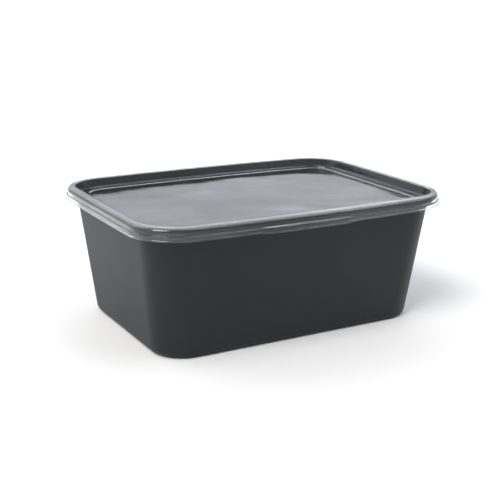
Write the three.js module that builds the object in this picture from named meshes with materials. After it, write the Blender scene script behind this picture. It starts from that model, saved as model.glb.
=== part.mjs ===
// A shut takeaway meal container: a black moulded tub with leaning walls,
// and a clear press-on lid whose rim wraps the rim of the tub.
// Millimetres, +Z up. The origin is the middle of the underside.
// +X runs along the container's length, -Y is its front.
import * as THREE from "three";
import { mergeVertices } from "three/addons/utils/BufferGeometryUtils.js";

// Driving dimensions
const LENGTH = 174;              // lid's rim, end to end
const WIDTH = 127;               // lid's rim, front to back, at the middle of the long sides
const HEIGHT = 67.5;             // floor to the top of the lid's rim
const RIM_CORNER = 23;           // corner radius of the lid's rim
const LONG_SIDE_BOW = 3.2;       // how far the rim's long sides swell towards their middle
const SHORT_SIDE_BOW = 0.7;      // the same at the ends
const FOOT_LENGTH = 147;         // tub's walls, carried down to the floor
const FOOT_WIDTH = 97.8;
const FOOT_CORNER = 16.6;
const WALL_INSET = 5;            // tub's walls, carried up to HEIGHT, stand this far inside the lid's rim
const BASE_EDGE = 3.2;           // radius between the tub's walls and its base

// Thicknesses and running gaps
const TUB_WALL = 0.7;
const TUB_BASE = 0.8;
const LID_WALL = 0.5;
const SNAP_GAP = 0.3;            // between the lid and the tub

// Tub: the foot ring that it stands on, the collar that takes the lid's plug, and the flange
const FOOT_RING_INNER = 8.2;     // foot ring's inner edge, in from the wall
const FOOT_STEP_RUN = 1;         // slope from the foot ring up to the raised middle of the base
const BASE_RISE = 0.8;           // raised middle of the base
const SHOULDER_Z = 60.8;         // where the leaning wall ends
const COLLAR_FOOT_Z = 62;
const COLLAR_INSET = 3.5;
const SOFT_EDGE = 0.4;           // the small edge radii of both mouldings

// Lid, as insets from its rim and depths under its top
const LIP_DEPTH = 6.5;           // underside of the snap lip
const LIP_TOP = 3.8;             // ledge on the lip
const SKIRT_INSET = 0.75;
const CREST_DROP = 0.7;          // the rim's top slopes down outwards by this much
const CREST_ROUND = 1.6;         // rounding between the skirt and the sloping top
const PLUG_INSET = 5;            // inner edge of the rim's top, where the plug wall starts
const PLUG_EDGE = 0.35;          // rounding of that edge
const PLUG_LEAN = 1;
const LEDGE_DEPTH = 5;           // the recess inside the rim
const LEDGE_ROUND = 0.85;        // rounding at the foot of the plug wall
const BEAD_INSET = 11.7;         // middle of the low bead round the panel
const BEAD_HALF = 0.8;
const BEAD_RISE = 0.3;
const PANEL_DEPTH = 5;
const SNAP_BEAD_INSET = 2.5;     // the lip reaches in under the flange
const LIFT_LENGTH = 46;          // finger lift on each long side
const LIFT_CENTRE = -5.8;        // how far along the side it sits
const LIFT_STEP = 1.2;
const LIFT_OUT = 0.6;
const LIFT_DROP = 0.5;

// Flange of the tub, running one gap under the lid's rim
const FLANGE_EDGE_INSET = SKIRT_INSET + LID_WALL + SNAP_GAP;
const FLANGE_EDGE_DEPTH = 3.1;   // the flange's edge is turned down to here

// Facets
const CORNER_STEPS = 8;
const LONG_STEPS = 3;            // on each side of the finger lift
const LIFT_STEPS = 2;
const SHORT_STEPS = 4;
const BASE_ARC_STEPS = 3;
const RIM_ARC_STEPS = 3;

const rimFrame = {
  halfLength: LENGTH / 2,
  halfWidth: WIDTH / 2,
  corner: RIM_CORNER,
  longBow: LONG_SIDE_BOW,
  shortBow: SHORT_SIDE_BOW,
};

const footFrame = {
  halfLength: FOOT_LENGTH / 2,
  halfWidth: FOOT_WIDTH / 2,
  corner: FOOT_CORNER,
  longBow: 0,
  shortBow: 0,
};

const wallTopFrame = {
  halfLength: rimFrame.halfLength - WALL_INSET,
  halfWidth: rimFrame.halfWidth - WALL_INSET,
  corner: rimFrame.corner - WALL_INSET,
  longBow: LONG_SIDE_BOW,
  shortBow: SHORT_SIDE_BOW,
};

// The tub's wall at a height: its outline grows evenly from the foot to the rim.
function wallFrame(z) {
  const t = z / HEIGHT;
  const frame = {};
  for (const key of Object.keys(footFrame)) {
    frame[key] = THREE.MathUtils.lerp(footFrame[key], wallTopFrame[key], t);
  }
  return frame;
}

// Stations round an outline, the same for every ring. Each one is a corner angle or a share of
// a side, and lift says how much of the finger lift it carries.
function stations() {
  const longStraight = rimFrame.halfLength - rimFrame.corner;
  const liftStart = LIFT_CENTRE - LIFT_LENGTH / 2;
  const liftEnd = LIFT_CENTRE + LIFT_LENGTH / 2;
  const longShares = [];
  for (let i = 1; i <= LONG_STEPS; i += 1) {
    const x = THREE.MathUtils.lerp(-longStraight, liftStart - LIFT_STEP, i / LONG_STEPS);
    longShares.push({ share: x / longStraight, lift: 0 });
  }
  for (let i = 0; i <= LIFT_STEPS; i += 1) {
    const x = THREE.MathUtils.lerp(liftStart, liftEnd, i / LIFT_STEPS);
    longShares.push({ share: x / longStraight, lift: 1 });
  }
  for (let i = 0; i < LONG_STEPS; i += 1) {
    const x = THREE.MathUtils.lerp(liftEnd + LIFT_STEP, longStraight, i / LONG_STEPS);
    longShares.push({ share: x / longStraight, lift: 0 });
  }
  const list = [];
  const addCorner = (sx, sy, startTurn) => {
    for (let i = 0; i <= CORNER_STEPS; i += 1) {
      const turn = startTurn + (Math.PI / 2) * (i / CORNER_STEPS);
      list.push({ sx, sy, turn, lift: 0 });
    }
  };
  const addLong = (sign) => {
    const ordered = sign < 0 ? longShares : [...longShares].reverse();
    for (const { share, lift } of ordered) {
      list.push({ x: share, sy: sign, lift });
    }
  };
  const addShort = (sign) => {
    for (let i = 1; i < SHORT_STEPS; i += 1) {
      list.push({ y: sign * (-1 + (2 * i) / SHORT_STEPS), sx: sign, lift: 0 });
    }
  };
  addLong(-1);
  addCorner(1, -1, -Math.PI / 2);
  addShort(1);
  addCorner(1, 1, 0);
  addLong(1);
  addCorner(-1, 1, Math.PI / 2);
  addShort(-1);
  addCorner(-1, -1, Math.PI);
  return list;
}

const STATIONS = stations();

// One ring: a rounded rectangle inside a frame by an inset, with its sides bowed.
function ring({ frame, inset, z, liftOut = 0, liftDrop = 0 }) {
  const straightX = frame.halfLength - frame.corner;
  const straightY = frame.halfWidth - frame.corner;
  const radius = frame.corner - inset;
  return STATIONS.map((station) => {
    let x = station.x === undefined ? station.sx * straightX : station.x * straightX;
    let y = station.y === undefined ? station.sy * straightY : station.y * straightY;
    if (station.turn !== undefined) {
      x += radius * Math.cos(station.turn);
      y += radius * Math.sin(station.turn);
    } else if (station.x !== undefined) {
      y += station.sy * (radius + liftOut * station.lift);
    } else {
      x += station.sx * radius;
    }
    const u = x / frame.halfLength;
    const w = y / frame.halfWidth;
    const bowedX = x - frame.shortBow * u * w * w;
    const bowedY = y - frame.longBow * w * u * u;
    return new THREE.Vector3(bowedX, bowedY, z - liftDrop * station.lift);
  });
}

// A closed shell from a section: the rings run from the middle of the underside, out and up over
// the outside, and back over the inside to the middle again.
function shell(section, startZ, endZ) {
  const count = STATIONS.length;
  const positions = [0, 0, startZ];
  for (const level of section) {
    for (const point of ring(level)) {
      positions.push(point.x, point.y, point.z);
    }
  }
  positions.push(0, 0, endZ);
  const last = positions.length / 3 - 1;
  const index = [];
  for (let k = 0; k < count; k += 1) {
    const next = (k + 1) % count;
    index.push(0, 1 + next, 1 + k);
    for (let level = 0; level < section.length - 1; level += 1) {
      const low = 1 + level * count;
      const high = low + count;
      index.push(low + k, low + next, high + next, low + k, high + next, high + k);
    }
    const top = 1 + (section.length - 1) * count;
    index.push(top + k, top + next, last);
  }
  const geometry = new THREE.BufferGeometry();
  geometry.setAttribute("position", new THREE.Float32BufferAttribute(positions, 3));
  geometry.setIndex(index);
  return mergeVertices(geometry, 1e-4);
}

// A quarter arc between two points of a section. It starts flat or starts upright.
function arc(fromInset, fromZ, toInset, toZ, flatFirst, steps = RIM_ARC_STEPS) {
  const points = [];
  for (let i = 0; i <= steps; i += 1) {
    const turn = (Math.PI / 2) * (i / steps);
    const across = flatFirst ? Math.sin(turn) : 1 - Math.cos(turn);
    const up = flatFirst ? 1 - Math.cos(turn) : Math.sin(turn);
    points.push({
      inset: THREE.MathUtils.lerp(fromInset, toInset, across),
      z: THREE.MathUtils.lerp(fromZ, toZ, up),
    });
  }
  return points;
}

// Depth of the lid's sloping rim under its inner edge, at an inset.
function crestDepth(inset) {
  return CREST_DROP * ((PLUG_INSET - inset) / (PLUG_INSET - SKIRT_INSET));
}

// Tub
function tubSection() {
  const onWall = ({ inset, z }) => ({ frame: wallFrame(z), inset, z });
  const onRim = ({ inset, z }) => ({ frame: rimFrame, inset, z });
  const stepInner = FOOT_RING_INNER + FOOT_STEP_RUN;
  const flangeTop = (inset) => HEIGHT - crestDepth(inset) - LID_WALL - SNAP_GAP;
  const edgeInner = FLANGE_EDGE_INSET + TUB_WALL;
  const edgeFoot = HEIGHT - FLANGE_EDGE_DEPTH;
  const edgeTop = HEIGHT - CREST_DROP - CREST_ROUND;
  const shelfOuter = FLANGE_EDGE_INSET + CREST_ROUND - LID_WALL;
  const collarInner = COLLAR_INSET + TUB_WALL;
  const outside = [
    { inset: stepInner, z: BASE_RISE },
    { inset: FOOT_RING_INNER, z: 0 },
    ...arc(BASE_EDGE, 0, 0, BASE_EDGE, true, BASE_ARC_STEPS),
    { inset: 0, z: SHOULDER_Z },
  ].map(onWall);
  const flange = [
    { inset: COLLAR_INSET, z: COLLAR_FOOT_Z },
    { inset: COLLAR_INSET, z: flangeTop(COLLAR_INSET) - TUB_WALL },
    { inset: shelfOuter, z: flangeTop(shelfOuter) - TUB_WALL },
    { inset: edgeInner, z: edgeTop - TUB_WALL / 2 },
    { inset: edgeInner, z: edgeFoot },
    { inset: FLANGE_EDGE_INSET, z: edgeFoot },
    ...arc(FLANGE_EDGE_INSET, edgeTop, shelfOuter, flangeTop(shelfOuter), false),
    { inset: collarInner, z: flangeTop(collarInner) },
    { inset: collarInner, z: COLLAR_FOOT_Z },
  ].map(onRim);
  const inside = [
    { inset: TUB_WALL, z: SHOULDER_Z },
    ...arc(TUB_WALL, BASE_EDGE, BASE_EDGE, TUB_BASE, false, BASE_ARC_STEPS),
    { inset: FOOT_RING_INNER, z: TUB_BASE },
    { inset: stepInner, z: BASE_RISE + TUB_BASE },
  ].map(onWall);
  return [...outside, ...flange, ...inside];
}

function tub() {
  const material = new THREE.MeshStandardMaterial({ color: 0x232527, roughness: 0.45, metalness: 0 });
  const mesh = new THREE.Mesh(shell(tubSection(), BASE_RISE, BASE_RISE + TUB_BASE), material);
  mesh.name = "tub";
  return mesh;
}

// Lid: the underside from the panel outwards, then back over the top face one wall higher.
function lidSection() {
  const at = (inset, depth, lift = 0) => ({
    frame: rimFrame,
    inset,
    z: HEIGHT - depth,
    liftOut: LIFT_OUT * lift,
    liftDrop: LIFT_DROP * lift,
  });
  const fromArc = (points) => points.map(({ inset, z }) => at(inset, -z));
  const plugFoot = PLUG_INSET + PLUG_LEAN;
  const ledgeInset = plugFoot + LEDGE_ROUND;
  const plugEnd = LEDGE_ROUND - LEDGE_DEPTH;
  const skirtTop = -CREST_DROP - CREST_ROUND;
  const crestOuter = SKIRT_INSET + CREST_ROUND;
  const crestInner = PLUG_INSET - PLUG_EDGE;
  const beadOuter = BEAD_INSET - BEAD_HALF;
  const beadInner = BEAD_INSET + BEAD_HALF;
  const under = LID_WALL;
  const underside = [
    at(beadInner, PANEL_DEPTH + under),
    at(BEAD_INSET, LEDGE_DEPTH - BEAD_RISE + under),
    at(beadOuter, LEDGE_DEPTH + under),
    ...fromArc(arc(ledgeInset, -LEDGE_DEPTH - under, plugFoot - under, plugEnd, true)),
    at(PLUG_INSET - under, crestDepth(PLUG_INSET - under) + under),
    ...fromArc(arc(crestOuter, -crestDepth(crestOuter) - under, SKIRT_INSET + under, skirtTop, true)),
    at(SKIRT_INSET + under, LIP_TOP - SOFT_EDGE),
    at(SNAP_BEAD_INSET, LIP_TOP - SOFT_EDGE + under),
    at(SNAP_BEAD_INSET, LIP_DEPTH - SOFT_EDGE),
    at(SNAP_BEAD_INSET - SOFT_EDGE, LIP_DEPTH),
  ];
  const topside = [
    at(SOFT_EDGE, LIP_DEPTH, 1),
    at(0, LIP_DEPTH - SOFT_EDGE, 1),
    at(0, LIP_TOP + SOFT_EDGE, 1),
    at(SOFT_EDGE, LIP_TOP, 1),
    at(SKIRT_INSET - SOFT_EDGE / 2, LIP_TOP - SOFT_EDGE / 2, 1),
    at(SKIRT_INSET, LIP_TOP - 2 * SOFT_EDGE),
    ...fromArc(arc(SKIRT_INSET, skirtTop, crestOuter, -crestDepth(crestOuter), false)),
    ...fromArc(arc(crestInner, 0, PLUG_INSET, -PLUG_EDGE, true)),
    ...fromArc(arc(plugFoot, plugEnd, ledgeInset, -LEDGE_DEPTH, false)),
    at(beadOuter, LEDGE_DEPTH),
    at(BEAD_INSET, LEDGE_DEPTH - BEAD_RISE),
    at(beadInner, PANEL_DEPTH),
  ];
  return [...underside, ...topside];
}

function lid() {
  const material = new THREE.MeshStandardMaterial({
    color: 0xd4d7da,
    roughness: 0.15,
    metalness: 0,
    transparent: true,
    opacity: 0.35,
  });
  const panelTop = HEIGHT - PANEL_DEPTH;
  const mesh = new THREE.Mesh(shell(lidSection(), panelTop - LID_WALL, panelTop), material);
  mesh.name = "lid";
  return mesh;
}

const container = new THREE.Group();
container.add(tub(), lid());

export default container;
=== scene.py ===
"""Looks of a shut takeaway meal container: a black moulded tub and its clear press-on lid."""

import math

import bpy
import numpy as np
from mathutils import Matrix, Vector


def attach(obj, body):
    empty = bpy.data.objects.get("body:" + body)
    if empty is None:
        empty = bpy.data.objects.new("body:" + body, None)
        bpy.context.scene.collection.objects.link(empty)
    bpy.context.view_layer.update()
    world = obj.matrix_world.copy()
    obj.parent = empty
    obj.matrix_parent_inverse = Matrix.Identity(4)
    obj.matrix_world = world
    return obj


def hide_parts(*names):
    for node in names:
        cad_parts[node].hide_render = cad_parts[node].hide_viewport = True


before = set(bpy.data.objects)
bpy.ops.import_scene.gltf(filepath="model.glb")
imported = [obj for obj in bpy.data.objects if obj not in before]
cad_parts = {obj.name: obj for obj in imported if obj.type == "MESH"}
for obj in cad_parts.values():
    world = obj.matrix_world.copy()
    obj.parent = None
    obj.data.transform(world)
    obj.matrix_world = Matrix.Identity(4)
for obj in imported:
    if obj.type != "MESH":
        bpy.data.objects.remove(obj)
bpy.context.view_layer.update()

MM = 0.001

# The outline and the leaning walls, in millimetres, as in the part's source.
LENGTH = 174.0
WIDTH = 127.0
HEIGHT = 67.5
RIM_CORNER = 23.0
LONG_SIDE_BOW = 3.2
SHORT_SIDE_BOW = 0.7
FOOT_LENGTH = 147.0
FOOT_WIDTH = 97.8
FOOT_CORNER = 16.6
WALL_INSET = 5.0

# The tub's section. Insets run inwards from the rim's outline, or from the leaning wall.
TUB_WALL = 0.7
BASE_EDGE = 3.2
FOOT_RING_INNER = 8.2
BASE_RISE = 0.8
BASE_WALL = 0.8
FOOT_RING_STEP = 1.0
BASE_FLAT_IN = 4.0
INNER_BASE_EDGE = 2.6
SHOULDER_Z = 60.8
COLLAR_FOOT_Z = 62.0
COLLAR_INSET = 3.5
FLANGE_TOP_Z = 66.8
FLANGE_EDGE_INSET = 1.55
FLANGE_EDGE_Z = 64.4
FLANGE_EDGE_ROUND = 0.15
FLANGE_UNDER_ROUND = 0.6
RIM_GAP = 0.2

# The lid's section.
LID_WALL = 0.5
LIP_FOOT_Z = 61.0
LIP_TOP_Z = 63.7
LIP_WALL = 0.55
LIP_ROOF = 0.45
LIP_TOP_RISE = 0.1
LIP_BAND = 0.6
LIP_BAND_ROUND = 0.15
LIP_STEP_TOP = 0.85
LIP_STEP_IN = 0.22
LIP_STEP_ROUND = 0.12
SKIRT_INSET = 0.75
CREST_DROP = 0.7
CREST_ROUND = 1.9
PLUG_INSET = 5.0
PLUG_FOOT_INSET = 6.0
PLUG_FOOT_ROUND = 0.85
PLUG_TOP_ROUND = 0.35
LEDGE_Z = 62.5
BEAD_INSET = 11.7
BEAD_HALF = 0.7
BEAD_RISE = 0.22
BEAD_FOOT_ROUND = 0.3
BEAD_TOP_ROUND = 0.35
BEAD_UNDER_ROUND = 0.5
PANEL_Z = 62.5
PANEL_EDGE_IN = 1.0
LIFT_CENTRE = -5.8
LIFT_LENGTH = 46.0
LIFT_STEP = 1.2
LIFT_OUT = 0.6
LIFT_DROP = 0.5

# Edges of both mouldings that are only softened.
SOFT_EDGE = 0.4
FINE_EDGE = 0.2

# How far the finished skins wander from flat, and how large the wander's pattern is.
TUB_WALL_WAVE = 0.12
LID_WALL_WAVE = 0.06
PANEL_WAVE = 0.75
PANEL_CROWN = 0.08
WALL_RIPPLE_SCALE = 22.0
PANEL_SWELL_SCALE = 19.0
PANEL_EDGE_REACH = 0.86

# Mesh counts, and the longest runs of a section in millimetres.
CORNER_STEPS = 28
LONG_STEP = 1.6
SHORT_STEP = 2.4
LIFT_END_STATIONS = 9
LIFT_END_MARGIN = 0.3
LEAST_STATION_GAP = 0.12
FILLET_STEPS = 6
SHOULDER_STEPS = 8
BASE_RINGS = 8
PANEL_RINGS = 26
OUTER_WALL_RUN = 3.0
FLANGE_RUN = 1.0
INNER_WALL_RUN = 4.0
LID_RUN = 0.8
NEARLY_HALF = 0.499

# Attributes of a blank: its section's levels and its outline's stations.
LEVEL_KEYS = ("inset", "height", "lean", "lift", "reach")
STATION_KEYS = ("spine", "outward")

# Colours.
BLACK_TONES = ((0.0054, 0.0082, 0.0104, 1.0), (0.0068, 0.0097, 0.0122, 1.0))
SCUFF_TONE = (0.020, 0.021, 0.022, 1.0)
CLEAR_TONES = ((0.84, 0.86, 0.88, 1.0), (0.88, 0.895, 0.91, 1.0))
FLOOR_TONES = ((0.81, 0.80, 0.79, 1.0), (0.83, 0.82, 0.81, 1.0))
# Painted shade: the light grey of the far floor in front, which the glossy tub front and lid skirt mirror.
FAR_FLOOR_PAINTED_SHADE = (0.47, 0.47, 0.47, 1.0)
SKY_TONE = (0.945, 0.98, 1.035, 1.0)
SUN_TONE = (1.0, 0.985, 0.96)

# The floor's half side, and the way and the stretch in which it turns grey as painted shade, in metres.
FLOOR_HALF = 12.0
FLOOR_SHADE_WAY = (0.5, -0.866, 0.0)
FLOOR_SHADE_STRETCH = (0.16, 0.34)

# Camera, fitted to the photograph's outline. Its angles are in degrees, and its distance and aim
# are in millimetres.
FOCAL_PIXELS = 985.0
IMAGE_PIXELS = 500.0
SENSOR_WIDTH = 36.0
CLIP_START = 0.01
CLIP_END = 50.0
CAMERA_AZIMUTH = -29.8
CAMERA_PITCH = 16.08
CAMERA_ROLL = 0.74
CAMERA_DISTANCE = 531.4
AIM_ACROSS = -0.77
AIM_UP = 31.82

# Soft glows in the sky: where each comes from, its outer and inner half angle, and its power.
SKY_GLOWS = (
    ((0.42, 0.64, 0.643), 27.0, 14.0, 0.85),
    ((0.45, -0.25, 0.857), 28.0, 10.0, 1.9),
)

# The sky's even power, what it gains towards the back, and what it gains there higher up.
SKY_POWER = 0.46
SKY_GAIN_BEHIND = 0.22
SKY_GAIN_ABOVE = 0.62
SKY_BEHIND = (0.2, 0.8)
SKY_ABOVE = (0.13, 0.43)

# Broad suns: name, where each comes from, its power and its spread in degrees.
SUNS = (
    ("key", (-0.68, -0.29, 0.82), 2.1, 30.0),
    ("second_key", (-0.76, 0.30, 0.70), 0.5, 80.0),
)

# The spot on the floor and the softbox, both behind the left end. Places are in metres.
FLOOR_LAMP_PLACE = (-0.34, 0.36, 0.6)
FLOOR_LAMP_AIM = (-0.24, 0.26, 0.0)
FLOOR_LAMP_CONE = 34.0
FLOOR_LAMP_BLEND = 0.9
FLOOR_LAMP_RADIUS = 0.06
FLOOR_LAMP_POWER = 5.0
BACK_LAMP_PLACE = (-0.36, 0.32, 0.45)
BACK_LAMP_AIM = (-0.2, 0.16, 0.0)
BACK_LAMP_SIDE = 0.3
BACK_LAMP_POWER = 0.4


class Number:
    """A socket that carries a number, so that maths on it is written as an expression."""

    def __init__(self, nodes, socket):
        self.nodes = nodes
        self.socket = socket

    def maths(self, operation, *values):
        return self.nodes.add("ShaderNodeMath", {"operation": operation}, dict(enumerate(values))).number()

    def __add__(self, other):
        return self.maths("ADD", self, other)

    __radd__ = __add__

    def __sub__(self, other):
        return self.maths("SUBTRACT", self, other)

    def __rsub__(self, other):
        return self.maths("SUBTRACT", other, self)

    def __mul__(self, other):
        return self.maths("MULTIPLY", self, other)

    __rmul__ = __mul__

    def __truediv__(self, other):
        return self.maths("DIVIDE", self, other)

    def __abs__(self):
        return self.maths("ABSOLUTE", self)


class Node:
    """One node of a tree, with its outputs to hand."""

    def __init__(self, nodes, made):
        self.nodes = nodes
        self.made = made

    def out(self, key=0):
        return self.made.outputs[key]

    def number(self, key=0):
        return Number(self.nodes, self.made.outputs[key])


class Nodes:
    """A shader or geometry tree that grows a node at a time."""

    def __init__(self, tree):
        self.tree = tree
        tree.nodes.clear()

    def add(self, kind, settings=None, inputs=None):
        made = self.tree.nodes.new(kind)
        for name, value in (settings or {}).items():
            setattr(made, name, value)
        for key, value in (inputs or {}).items():
            self.feed(made.inputs[key], value)
        return Node(self, made)

    def feed(self, socket, value):
        if isinstance(value, Number):
            value = value.socket
        if isinstance(value, bpy.types.NodeSocket):
            self.tree.links.new(value, socket)
        else:
            socket.default_value = value

    def remap(self, value, low, high, to_low=0.0, to_high=1.0):
        settings = {"interpolation_type": "SMOOTHSTEP"}
        inputs = {0: value, 1: low, 2: high, 3: to_low, 4: to_high}
        return self.add("ShaderNodeMapRange", settings, inputs).number()

    def mix_colour(self, share, first, second):
        settings = {"data_type": "RGBA"}
        return self.add("ShaderNodeMix", settings, {0: share, 6: first, 7: second}).out(2)

    def stretched(self, place, factors):
        settings = {"operation": "MULTIPLY"}
        return self.add("ShaderNodeVectorMath", settings, {0: place, 1: factors}).out()

    def noise(self, place, scale, detail=2.0, roughness=0.5, distortion=0.0):
        inputs = {
            "Vector": place,
            "Scale": scale,
            "Detail": detail,
            "Roughness": roughness,
            "Distortion": distortion,
        }
        return self.add("ShaderNodeTexNoise", {}, inputs).number()


# Adds an object to the scene.
def added(name, data):
    made = bpy.data.objects.new(name, data)
    bpy.context.scene.collection.objects.link(made)
    return made


# The outline's stations. A station has a spine, its share of the straight sides, and the way out.
def outline_stations():
    straight_x = LENGTH / 2 - RIM_CORNER
    straight_y = WIDTH / 2 - RIM_CORNER
    lift_ends = [LIFT_CENTRE - LIFT_LENGTH / 2, LIFT_CENTRE + LIFT_LENGTH / 2]
    across = list(np.arange(-straight_x, straight_x, LONG_STEP)[1:])
    for end, way in zip(lift_ends, (-1, 1)):
        past = np.linspace(-LIFT_END_MARGIN, LIFT_STEP + LIFT_END_MARGIN, LIFT_END_STATIONS)
        across += list(end + way * past)
    across = sorted(across)
    kept = [across[0]]
    for x in across[1:]:
        if x - kept[-1] > LEAST_STATION_GAP and x < straight_x - LIFT_END_MARGIN:
            kept.append(x)
    steps_up = max(2, round(2 * straight_y / SHORT_STEP))
    spine = []
    outward = []
    corner_signs = ((1, -1), (1, 1), (-1, 1), (-1, -1))

    def corner(number):
        sx, sy = corner_signs[number]
        for i in range(CORNER_STEPS + 1):
            turn = math.pi / 2 * (number - 1 + i / CORNER_STEPS)
            spine.append((sx, sy, 0))
            outward.append((math.cos(turn), math.sin(turn), 0))

    def side(points, way):
        for point in points:
            spine.append(point)
            outward.append(way)

    shares = [x / straight_x for x in kept]
    rises = [-1 + 2 * i / steps_up for i in range(1, steps_up)]
    side([(x, -1, 0) for x in shares], (0, -1, 0))
    corner(0)
    side([(1, y, 0) for y in rises], (1, 0, 0))
    corner(1)
    side([(x, 1, 0) for x in reversed(shares)], (0, 1, 0))
    corner(2)
    side([(-1, y, 0) for y in reversed(rises)], (-1, 0, 0))
    corner(3)
    return np.array(spine, float), np.array(outward, float)


# A level of a section: its way in from the outline, its height and the rounding of its corner. It
# leans with the wall, takes the finger lifts, and reaches out to the outline, each from 0 to 1.
def level(inset, height, radius=0.0, lean=0.0, lift=0.0, reach=1.0):
    return {"inset": inset, "height": height, "radius": radius, "lean": lean, "lift": lift, "reach": reach}


# Rounds each corner of a section by its radius.
def rounded(levels):
    out = []
    for i, here in enumerate(levels):
        if here["radius"] <= 0 or i in (0, len(levels) - 1):
            out.append(dict(here))
            continue
        point = np.array([here["inset"], here["height"]])
        before = np.array([levels[i - 1]["inset"], levels[i - 1]["height"]]) - point
        after = np.array([levels[i + 1]["inset"], levels[i + 1]["height"]]) - point
        reach_before = np.linalg.norm(before)
        reach_after = np.linalg.norm(after)
        before /= reach_before
        after /= reach_after
        half = math.acos(max(-1.0, min(1.0, float(before @ after)))) / 2
        back = min(here["radius"] / math.tan(half), NEARLY_HALF * reach_before, NEARLY_HALF * reach_after)
        radius = back * math.tan(half)
        middle = (before + after) / np.linalg.norm(before + after)
        centre = point + middle * radius / math.sin(half)
        first = point + before * back - centre
        last = point + after * back - centre
        start = math.atan2(first[1], first[0])
        sweep = (math.atan2(last[1], last[0]) - start + math.pi) % (2 * math.pi) - math.pi
        for k in range(FILLET_STEPS + 1):
            turn = start + sweep * k / FILLET_STEPS
            made = dict(here)
            made["inset"] = centre[0] + radius * math.cos(turn)
            made["height"] = centre[1] + radius * math.sin(turn)
            out.append(made)
    return out


# Cuts long runs of a section into short ones.
def filled(levels, longest):
    out = [levels[0]]
    for here, after in zip(levels, levels[1:]):
        run = math.hypot(after["inset"] - here["inset"], after["height"] - here["height"])
        pieces = max(1, math.ceil(run / longest))
        for k in range(1, pieces + 1):
            t = k / pieces
            out.append({key: here[key] + (after[key] - here[key]) * t for key in here})
    return out


# Rings that shrink a level evenly towards the middle, or grow out from it.
def towards_middle(edge, rings, outwards):
    out = []
    for k in range(1, rings + 1):
        made = dict(edge)
        made["reach"] = 1 - k / (rings + 1)
        out.append(made)
    return out[::-1] if outwards else out


# The tub's section: out from the middle of its underside, up, over the flange, down and back in.
def tub_levels():
    flat_inset = FOOT_RING_INNER + BASE_FLAT_IN
    ring_inset = FOOT_RING_INNER + FOOT_RING_STEP
    flange_under_z = FLANGE_TOP_Z - TUB_WALL
    under = [
        level(flat_inset, BASE_RISE, lean=1),
        level(ring_inset, BASE_RISE, SOFT_EDGE, lean=1),
        level(FOOT_RING_INNER, 0.0, SOFT_EDGE, lean=1),
        level(0.0, 0.0, BASE_EDGE, lean=1),
        level(0.0, SHOULDER_Z, lean=1),
    ]
    shoulder = []
    for k in range(1, SHOULDER_STEPS):
        t = k / SHOULDER_STEPS
        ease = t * t * (3 - 2 * t)
        z = SHOULDER_Z + (COLLAR_FOOT_Z - SHOULDER_Z) * t
        shoulder.append(level(COLLAR_INSET * ease, z, lean=1 - ease))
    flange = [
        level(COLLAR_INSET, COLLAR_FOOT_Z),
        level(COLLAR_INSET, flange_under_z, SOFT_EDGE),
        level(FLANGE_EDGE_INSET + TUB_WALL, flange_under_z - CREST_DROP, FLANGE_UNDER_ROUND),
        level(FLANGE_EDGE_INSET + TUB_WALL, FLANGE_EDGE_Z, FLANGE_EDGE_ROUND),
        level(FLANGE_EDGE_INSET, FLANGE_EDGE_Z, FLANGE_EDGE_ROUND),
        level(FLANGE_EDGE_INSET, FLANGE_TOP_Z - CREST_DROP, CREST_ROUND - LID_WALL - RIM_GAP),
        level(COLLAR_INSET + TUB_WALL, FLANGE_TOP_Z, FINE_EDGE),
        level(COLLAR_INSET + TUB_WALL, COLLAR_FOOT_Z),
    ]
    inner_shoulder = [dict(made) for made in reversed(shoulder)]
    for made in inner_shoulder:
        made["inset"] += TUB_WALL
    inside = [
        level(TUB_WALL, SHOULDER_Z, lean=1),
        level(TUB_WALL, BASE_WALL, INNER_BASE_EDGE, lean=1),
        level(FOOT_RING_INNER, BASE_WALL, SOFT_EDGE, lean=1),
        level(ring_inset, BASE_RISE + BASE_WALL, SOFT_EDGE, lean=1),
        level(flat_inset, BASE_RISE + BASE_WALL, lean=1),
    ]
    outer = filled(rounded(under), OUTER_WALL_RUN)
    top = filled(rounded(flange), FLANGE_RUN)
    inner = filled(rounded(inside), INNER_WALL_RUN)
    below = towards_middle(outer[0], BASE_RINGS, True)
    above = towards_middle(inner[-1], BASE_RINGS, False)
    return below + outer + shoulder + top + inner_shoulder + inner + above


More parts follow.
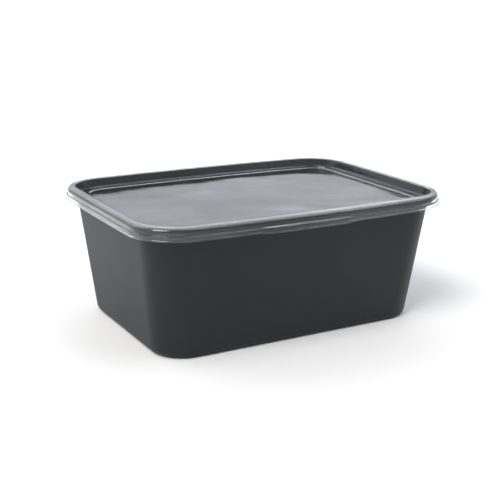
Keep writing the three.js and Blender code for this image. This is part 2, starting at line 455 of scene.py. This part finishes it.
# The lid's section: out from the middle of its underside to the lip's foot, and back over the top.
def lid_levels():
    wall = LID_WALL
    bead_outer = BEAD_INSET - BEAD_HALF
    bead_inner = BEAD_INSET + BEAD_HALF
    panel_edge = bead_inner + PANEL_EDGE_IN
    roof_z = LIP_TOP_Z - LIP_ROOF
    underside = [
        level(panel_edge, PANEL_Z - wall),
        level(bead_inner, PANEL_Z - wall, BEAD_UNDER_ROUND),
        level(BEAD_INSET, LEDGE_Z + BEAD_RISE - wall, BEAD_UNDER_ROUND),
        level(bead_outer, LEDGE_Z - wall, BEAD_UNDER_ROUND),
        level(PLUG_FOOT_INSET - wall, LEDGE_Z - wall, PLUG_FOOT_ROUND + wall),
        level(PLUG_INSET - wall, HEIGHT - wall, FINE_EDGE),
        level(SKIRT_INSET + wall, HEIGHT - CREST_DROP - wall, CREST_ROUND - wall),
        level(SKIRT_INSET + wall, roof_z, FINE_EDGE),
        level(LIP_WALL, roof_z, FINE_EDGE),
        level(LIP_WALL, LIP_FOOT_Z, FINE_EDGE, lift=1),
    ]
    topside = [
        level(0.0, LIP_FOOT_Z, FINE_EDGE, lift=1),
        level(0.0, LIP_FOOT_Z + LIP_BAND, LIP_BAND_ROUND, lift=1),
        level(LIP_STEP_IN, LIP_FOOT_Z + LIP_STEP_TOP, LIP_STEP_ROUND, lift=1),
        level(LIP_STEP_IN, LIP_TOP_Z, FINE_EDGE, lift=1),
        level(SKIRT_INSET, LIP_TOP_Z + LIP_TOP_RISE, LIP_BAND_ROUND),
        level(SKIRT_INSET, HEIGHT - CREST_DROP, CREST_ROUND),
        level(PLUG_INSET, HEIGHT, PLUG_TOP_ROUND),
        level(PLUG_FOOT_INSET, LEDGE_Z, PLUG_FOOT_ROUND),
        level(bead_outer, LEDGE_Z, BEAD_FOOT_ROUND),
        level(BEAD_INSET, LEDGE_Z + BEAD_RISE, BEAD_TOP_ROUND),
        level(bead_inner, PANEL_Z, BEAD_FOOT_ROUND),
        level(panel_edge, PANEL_Z),
    ]
    section = filled(rounded(underside + topside), LID_RUN)
    below = towards_middle(section[0], PANEL_RINGS, True)
    above = towards_middle(section[-1], PANEL_RINGS, False)
    return below + section + above


# The blank that the moulding tree shapes: rings of stations, closed by a point at each end. It
# carries each point's place in the section and in the outline as attributes.
def blank(name, levels):
    spine, outward = outline_stations()
    count = len(spine)
    rings = len(levels)
    total = rings * count + 2
    faces = []
    for k in range(count):
        after = (k + 1) % count
        faces.append((0, 1 + after, 1 + k))
        for ring in range(rings - 1):
            low = 1 + ring * count
            high = low + count
            faces.append((low + k, low + after, high + after, high + k))
        top = 1 + (rings - 1) * count
        faces.append((top + k, top + after, total - 1))
    mesh = bpy.data.meshes.new(name)
    mesh.from_pydata(np.zeros((total, 3)).tolist(), [], faces)

    def spread(values, first, last):
        return np.concatenate([[first], np.repeat(values, count), [last]])

    def store(key, kind, values):
        data = mesh.attributes.new(key, kind, "POINT")
        field = "vector" if kind == "FLOAT_VECTOR" else "value"
        data.data.foreach_set(field, np.asarray(values, np.float32).ravel())

    for key, scale in (("inset", MM), ("height", MM), ("lean", 1), ("lift", 1)):
        values = [made[key] * scale for made in levels]
        store(key, "FLOAT", spread(values, values[0], values[-1]))
    store("reach", "FLOAT", spread([made["reach"] for made in levels], 0.0, 0.0))
    for key, values in zip(STATION_KEYS, (spine, outward)):
        rows = np.concatenate([[[0, 0, 0]], np.tile(values, (rings, 1)), [[0, 0, 0]]])
        store(key, "FLOAT_VECTOR", rows)
    return added(name, mesh)


# What the moulding tree is given, in metres, with no waves until a piece asks for them.
MOULD_SIZES = {
    "Half length": LENGTH / 2 * MM,
    "Half width": WIDTH / 2 * MM,
    "Corner": RIM_CORNER * MM,
    "Long side bow": LONG_SIDE_BOW * MM,
    "Short side bow": SHORT_SIDE_BOW * MM,
    "Foot half length": FOOT_LENGTH / 2 * MM,
    "Foot half width": FOOT_WIDTH / 2 * MM,
    "Foot corner": FOOT_CORNER * MM,
    "Wall inset": WALL_INSET * MM,
    "Height": HEIGHT * MM,
    "Lift centre": LIFT_CENTRE * MM,
    "Lift half length": LIFT_LENGTH / 2 * MM,
    "Lift step": LIFT_STEP * MM,
    "Lift out": LIFT_OUT * MM,
    "Lift drop": LIFT_DROP * MM,
    "Panel wave": 0.0,
    "Panel crown": 0.0,
    "Wall wave": 0.0,
    "Seed": 3.0,
}


# The moulding tree: each ring is the outline inside the rim, or inside the leaning wall.
def moulding_tree(name, finish):
    group = bpy.data.node_groups.new(name, "GeometryNodeTree")
    sockets = group.interface
    sockets.new_socket("Geometry", in_out="INPUT", socket_type="NodeSocketGeometry")
    sockets.new_socket("Geometry", in_out="OUTPUT", socket_type="NodeSocketGeometry")
    for key in MOULD_SIZES:
        sockets.new_socket(key, in_out="INPUT", socket_type="NodeSocketFloat")
    nodes = Nodes(group)
    given = nodes.add("NodeGroupInput")

    def named(key):
        return nodes.add("GeometryNodeInputNamedAttribute", {"data_type": "FLOAT"}, {"Name": key}).number()

    def parts(key):
        settings = {"data_type": "FLOAT_VECTOR"}
        vector = nodes.add("GeometryNodeInputNamedAttribute", settings, {"Name": key}).out()
        split = nodes.add("ShaderNodeSeparateXYZ", {}, {0: vector})
        return split.number(0), split.number(1)

    size = {key: given.number(key) for key in MOULD_SIZES}
    inset, height, lean, lift, reach = [named(key) for key in LEVEL_KEYS]
    spine_x, spine_y = parts("spine")
    out_x, out_y = parts("outward")
    climb = height / size["Height"]

    def here(at_rim, at_foot):
        wall_top = at_rim - size["Wall inset"]
        wall = at_foot + (wall_top - at_foot) * climb
        return at_rim + (wall - at_rim) * lean

    half_x = here(size["Half length"], size["Foot half length"])
    half_y = here(size["Half width"], size["Foot half width"])
    corner = here(size["Corner"], size["Foot corner"])
    bow = 1 + (climb - 1) * lean
    x = spine_x * (half_x - corner) + out_x * (corner - inset)
    from_middle = abs(x - size["Lift centre"])
    lift_end = size["Lift half length"] + size["Lift step"]
    lifted = nodes.remap(from_middle, size["Lift half length"], lift_end, 1.0, 0.0) * lift
    y = spine_y * (half_y - corner) + out_y * (corner - inset + size["Lift out"] * lifted)
    u = x / half_x
    w = y / half_y
    bowed_x = (x - size["Short side bow"] * bow * u * w * w) * reach
    bowed_y = (y - size["Long side bow"] * bow * w * u * u) * reach
    flat_place = nodes.add("ShaderNodeCombineXYZ", {}, {0: bowed_x, 1: bowed_y, 2: size["Seed"]}).out()
    wall_place = nodes.add("ShaderNodeCombineXYZ", {}, {0: bowed_x, 1: bowed_y, 2: height}).out()
    ripple = nodes.noise(wall_place, WALL_RIPPLE_SCALE, detail=1.0) - 1.0
    pulled = ripple * size["Wall wave"]
    swell = nodes.noise(flat_place, PANEL_SWELL_SCALE, detail=1.5) - 0.5
    in_panel = nodes.remap(reach, PANEL_EDGE_REACH, 1.0, 1.0, 0.0)
    crown = (1 - reach * reach) * size["Panel crown"]
    rise = swell * in_panel * size["Panel wave"] * 2 + crown
    place_z = height - size["Lift drop"] * lifted + rise
    at = {0: bowed_x + out_x * pulled, 1: bowed_y + out_y * pulled, 2: place_z}
    place = nodes.add("ShaderNodeCombineXYZ", {}, at).out()
    moved = nodes.add("GeometryNodeSetPosition", {}, {"Geometry": given.out("Geometry"), "Position": place})
    smooth = nodes.add("GeometryNodeSetShadeSmooth", {}, {"Geometry": moved.out()})
    real = nodes.add("GeometryNodeRealizeInstances", {}, {0: smooth.out()})
    painted = nodes.add("GeometryNodeSetMaterial", {}, {"Geometry": real.out(), "Material": finish})
    nodes.add("NodeGroupOutput", {}, {0: painted.out()})
    return group


# Moulds a blank into a finished piece, as a plain mesh.
def moulded(name, levels, finish, changes):
    rough = blank(name + "_blank", levels)
    modifier = rough.modifiers.new("moulding", "NODES")
    modifier.node_group = moulding_tree(name + "_moulding", finish)
    values = dict(MOULD_SIZES)
    values.update(changes)
    for item in modifier.node_group.interface.items_tree:
        if item.item_type == "SOCKET" and item.in_out == "INPUT" and item.name in values:
            modifier[item.identifier] = values[item.name]
    graph = bpy.context.evaluated_depsgraph_get()
    mesh = bpy.data.meshes.new_from_object(rough.evaluated_get(graph), depsgraph=graph)
    mesh.name = name
    for key in LEVEL_KEYS + STATION_KEYS:
        mesh.attributes.remove(mesh.attributes[key])
    piece = added(name, mesh)
    old = rough.data
    bpy.data.objects.remove(rough)
    bpy.data.meshes.remove(old)
    return piece


# Makes a material of one Principled shader, from the inputs that the finish gives for its nodes.
def principled(name, finish):
    material = bpy.data.materials.new(name)
    material.use_nodes = True
    nodes = Nodes(material.node_tree)
    place = nodes.add("ShaderNodeTexCoord").out("Object")
    surface = nodes.add("ShaderNodeBsdfPrincipled", {}, finish(nodes, place))
    nodes.add("ShaderNodeOutputMaterial", {}, {"Surface": surface.out()})
    return material


# Black polypropylene: a fine satin grain, soft flow marks and a few light scuffs.
def black_plastic(nodes, place):
    cloud = nodes.noise(place, 38.0, detail=3.0)
    flow_place = nodes.stretched(place, (1.0, 1.0, 0.25))
    flow = nodes.noise(flow_place, 260.0, detail=3.0, roughness=0.6, distortion=0.4)
    grain = nodes.noise(place, 5200.0)
    scuff_place = nodes.stretched(place, (1.0, 1.0, 7.0))
    scuff = nodes.remap(nodes.noise(scuff_place, 420.0, detail=4.0, roughness=0.7), 0.66, 0.8)
    tone = nodes.mix_colour(cloud, *BLACK_TONES)
    relief = grain * 0.5 + flow * 0.35 + scuff * 0.2
    bump = nodes.add("ShaderNodeBump", {}, {"Strength": 0.12, "Distance": 0.00006, "Height": relief})
    return {
        "Base Color": nodes.mix_colour(scuff * 0.35, tone, SCUFF_TONE),
        "Roughness": 0.40 + cloud * 0.06 + flow * 0.04 + grain * 0.04 + scuff * 0.04,
        "IOR": 1.40,
        "Normal": bump.out(),
    }


# Clear polypropylene: see-through, with a glossy, faintly rippled skin. Its coat is a thin film
# that lies in soft patches and grows stronger towards the right.
def clear_plastic(nodes, place):
    cloud = nodes.noise(place, 30.0, detail=3.0)
    flow_place = nodes.stretched(place, (0.35, 1.0, 1.0))
    flow = nodes.noise(flow_place, 150.0, distortion=0.6)
    grain = nodes.noise(place, 2600.0)
    relief = flow * 0.8 + grain * 0.08
    bump = nodes.add("ShaderNodeBump", {}, {"Strength": 0.05, "Distance": 0.0001, "Height": relief})
    along = nodes.add("ShaderNodeSeparateXYZ", {}, {0: place}).number(0)
    patch = nodes.remap(nodes.noise(place, 17.0, distortion=0.5), 0.36, 0.64)
    return {
        "Base Color": nodes.mix_colour(cloud, *CLEAR_TONES),
        "Roughness": 0.02 + cloud * 0.04 + grain * 0.015,
        "IOR": 1.38,
        "Transmission Weight": 0.992,
        "Coat Weight": patch * 0.36 + nodes.remap(along, -0.07, 0.05) * 0.16,
        "Normal": bump.out(),
    }


# The floor: nearly white round the container, and a light grey further off, in front to the right. The grey
# is painted shade, standing in for darker surroundings in front, so that the glossy tub front and lid skirt
# mirror them darker.
def pale_floor(nodes, place):
    tone = nodes.mix_colour(nodes.noise(place, 900.0, detail=3.0), *FLOOR_TONES)
    along = nodes.add("ShaderNodeVectorMath", {"operation": "DOT_PRODUCT"}, {0: place, 1: FLOOR_SHADE_WAY})
    shade_share = nodes.remap(along.number(1), *FLOOR_SHADE_STRETCH)
    return {
        # The grey further off is painted shade, standing in for darker surroundings in front.
        "Base Color": nodes.mix_colour(shade_share, tone, FAR_FLOOR_PAINTED_SHADE),
        "Roughness": 0.9,
        "Specular IOR Level": 0.1,
    }


# The plain floor, which is no piece of the container.
def stage():
    side = FLOOR_HALF
    mesh = bpy.data.meshes.new("floor")
    corners = [(-side, -side, 0), (side, -side, 0), (side, side, 0), (-side, side, 0)]
    mesh.from_pydata(corners, [], [(0, 1, 2, 3)])
    mesh.materials.append(principled("pale_floor", pale_floor))
    floor = added("floor", mesh)


# Hangs a light at a place, turned the way that it shines.
def hang(name, light, way, place=(0.0, 0.0, 0.0)):
    lamp = added(name, light)
    lamp.location = place
    lamp.rotation_euler = way.to_track_quat("-Z", "Y").to_euler()
    return lamp


# A very broad sun, which lights the floor evenly as far as the camera sees.
def broad_sun(name, source, power, spread):
    light = bpy.data.lights.new(name, "SUN")
    light.energy = power
    light.angle = math.radians(spread)
    light.color = SUN_TONE
    hang(name, light, -Vector(source))


# A spot that whitens the floor behind the left end, which the left rim and the end mirror.
def floor_lamp():
    light = bpy.data.lights.new("floor_lamp", "SPOT")
    light.spot_size = math.radians(FLOOR_LAMP_CONE)
    light.spot_blend = FLOOR_LAMP_BLEND
    light.shadow_soft_size = FLOOR_LAMP_RADIUS
    light.energy = FLOOR_LAMP_POWER
    hang("floor_lamp", light, Vector(FLOOR_LAMP_AIM) - Vector(FLOOR_LAMP_PLACE), FLOOR_LAMP_PLACE)


# A small softbox over the floor, which the glossy end and rim mirror.
def back_lamp():
    light = bpy.data.lights.new("back_lamp", "AREA")
    light.shape = "SQUARE"
    light.size = BACK_LAMP_SIDE
    light.energy = BACK_LAMP_POWER
    lamp = hang("back_lamp", light, Vector(BACK_LAMP_AIM) - Vector(BACK_LAMP_PLACE), BACK_LAMP_PLACE)
    lamp.visible_camera = False


# The sky, brighter behind the container and in its glows, and the lamps.
def lighting():
    world = bpy.data.worlds.new("studio")
    world.use_nodes = True
    nodes = Nodes(world.node_tree)
    way = nodes.add("ShaderNodeTexCoord").out("Generated")
    heading = nodes.add("ShaderNodeSeparateXYZ", {}, {0: way})
    behind = nodes.remap(heading.number(1), *SKY_BEHIND)
    above = nodes.remap(heading.number(2), *SKY_ABOVE)
    strength = SKY_POWER + behind * (SKY_GAIN_BEHIND + above * SKY_GAIN_ABOVE)
    for source, wide, narrow, power in SKY_GLOWS:
        reach = Vector(source).normalized()
        settings = {"operation": "DOT_PRODUCT"}
        facing = nodes.add("ShaderNodeVectorMath", settings, {0: way, 1: tuple(reach)}).number(1)
        limits = [math.cos(math.radians(angle)) for angle in (wide, narrow)]
        strength = strength + nodes.remap(facing, limits[0], limits[1]) * power
    background = nodes.add("ShaderNodeBackground", {}, {"Color": SKY_TONE, "Strength": strength})
    nodes.add("ShaderNodeOutputWorld", {}, {"Surface": background.out()})
    bpy.context.scene.world = world
    for name, source, power, spread in SUNS:
        broad_sun(name, source, power, spread)
    floor_lamp()
    back_lamp()


# The camera turns about the container's upright axis, then looks down by its pitch and rolls.
def camera():
    azimuth = math.radians(CAMERA_AZIMUTH)
    pitch = math.radians(CAMERA_PITCH)
    roll = math.radians(CAMERA_ROLL)
    level_back = Vector((math.sin(azimuth), -math.cos(azimuth), 0.0))
    back = level_back * math.cos(pitch) + Vector((0.0, 0.0, math.sin(pitch)))
    across = Vector((math.cos(azimuth), math.sin(azimuth), 0.0))
    up = back.cross(across)
    aim = (across * AIM_ACROSS + up * AIM_UP) * MM
    eye = aim + back * CAMERA_DISTANCE * MM
    right = across * math.cos(roll) + up * math.sin(roll)
    top = up * math.cos(roll) - across * math.sin(roll)
    data = bpy.data.cameras.new("camera")
    data.sensor_width = SENSOR_WIDTH
    data.lens = FOCAL_PIXELS / IMAGE_PIXELS * SENSOR_WIDTH
    data.clip_start = CLIP_START
    data.clip_end = CLIP_END
    seen_from = added("camera", data)
    seen_from.matrix_world = Matrix.Translation(eye) @ Matrix((right, top, back)).transposed().to_4x4()
    bpy.context.scene.camera = seen_from


# The tub and the lid, each in place of its solid.
def container():
    black = principled("black_polypropylene", black_plastic)
    tub = moulded("tub_shell", tub_levels(), black, {"Wall wave": TUB_WALL_WAVE * MM})
    clear = principled("clear_polypropylene", clear_plastic)
    changes = {
        "Wall wave": LID_WALL_WAVE * MM,
        "Panel wave": PANEL_WAVE * MM,
        "Panel crown": PANEL_CROWN * MM,
    }
    lid = moulded("lid_shell", lid_levels(), clear, changes)
    for piece, node, finish in ((tub, "tub", "tub_plastic"), (lid, "lid", "lid_plastic")):
        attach(piece, "root")
        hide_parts(node)


camera()
container()
stage()
lighting()
bpy.context.scene.view_settings.view_transform = "Standard"
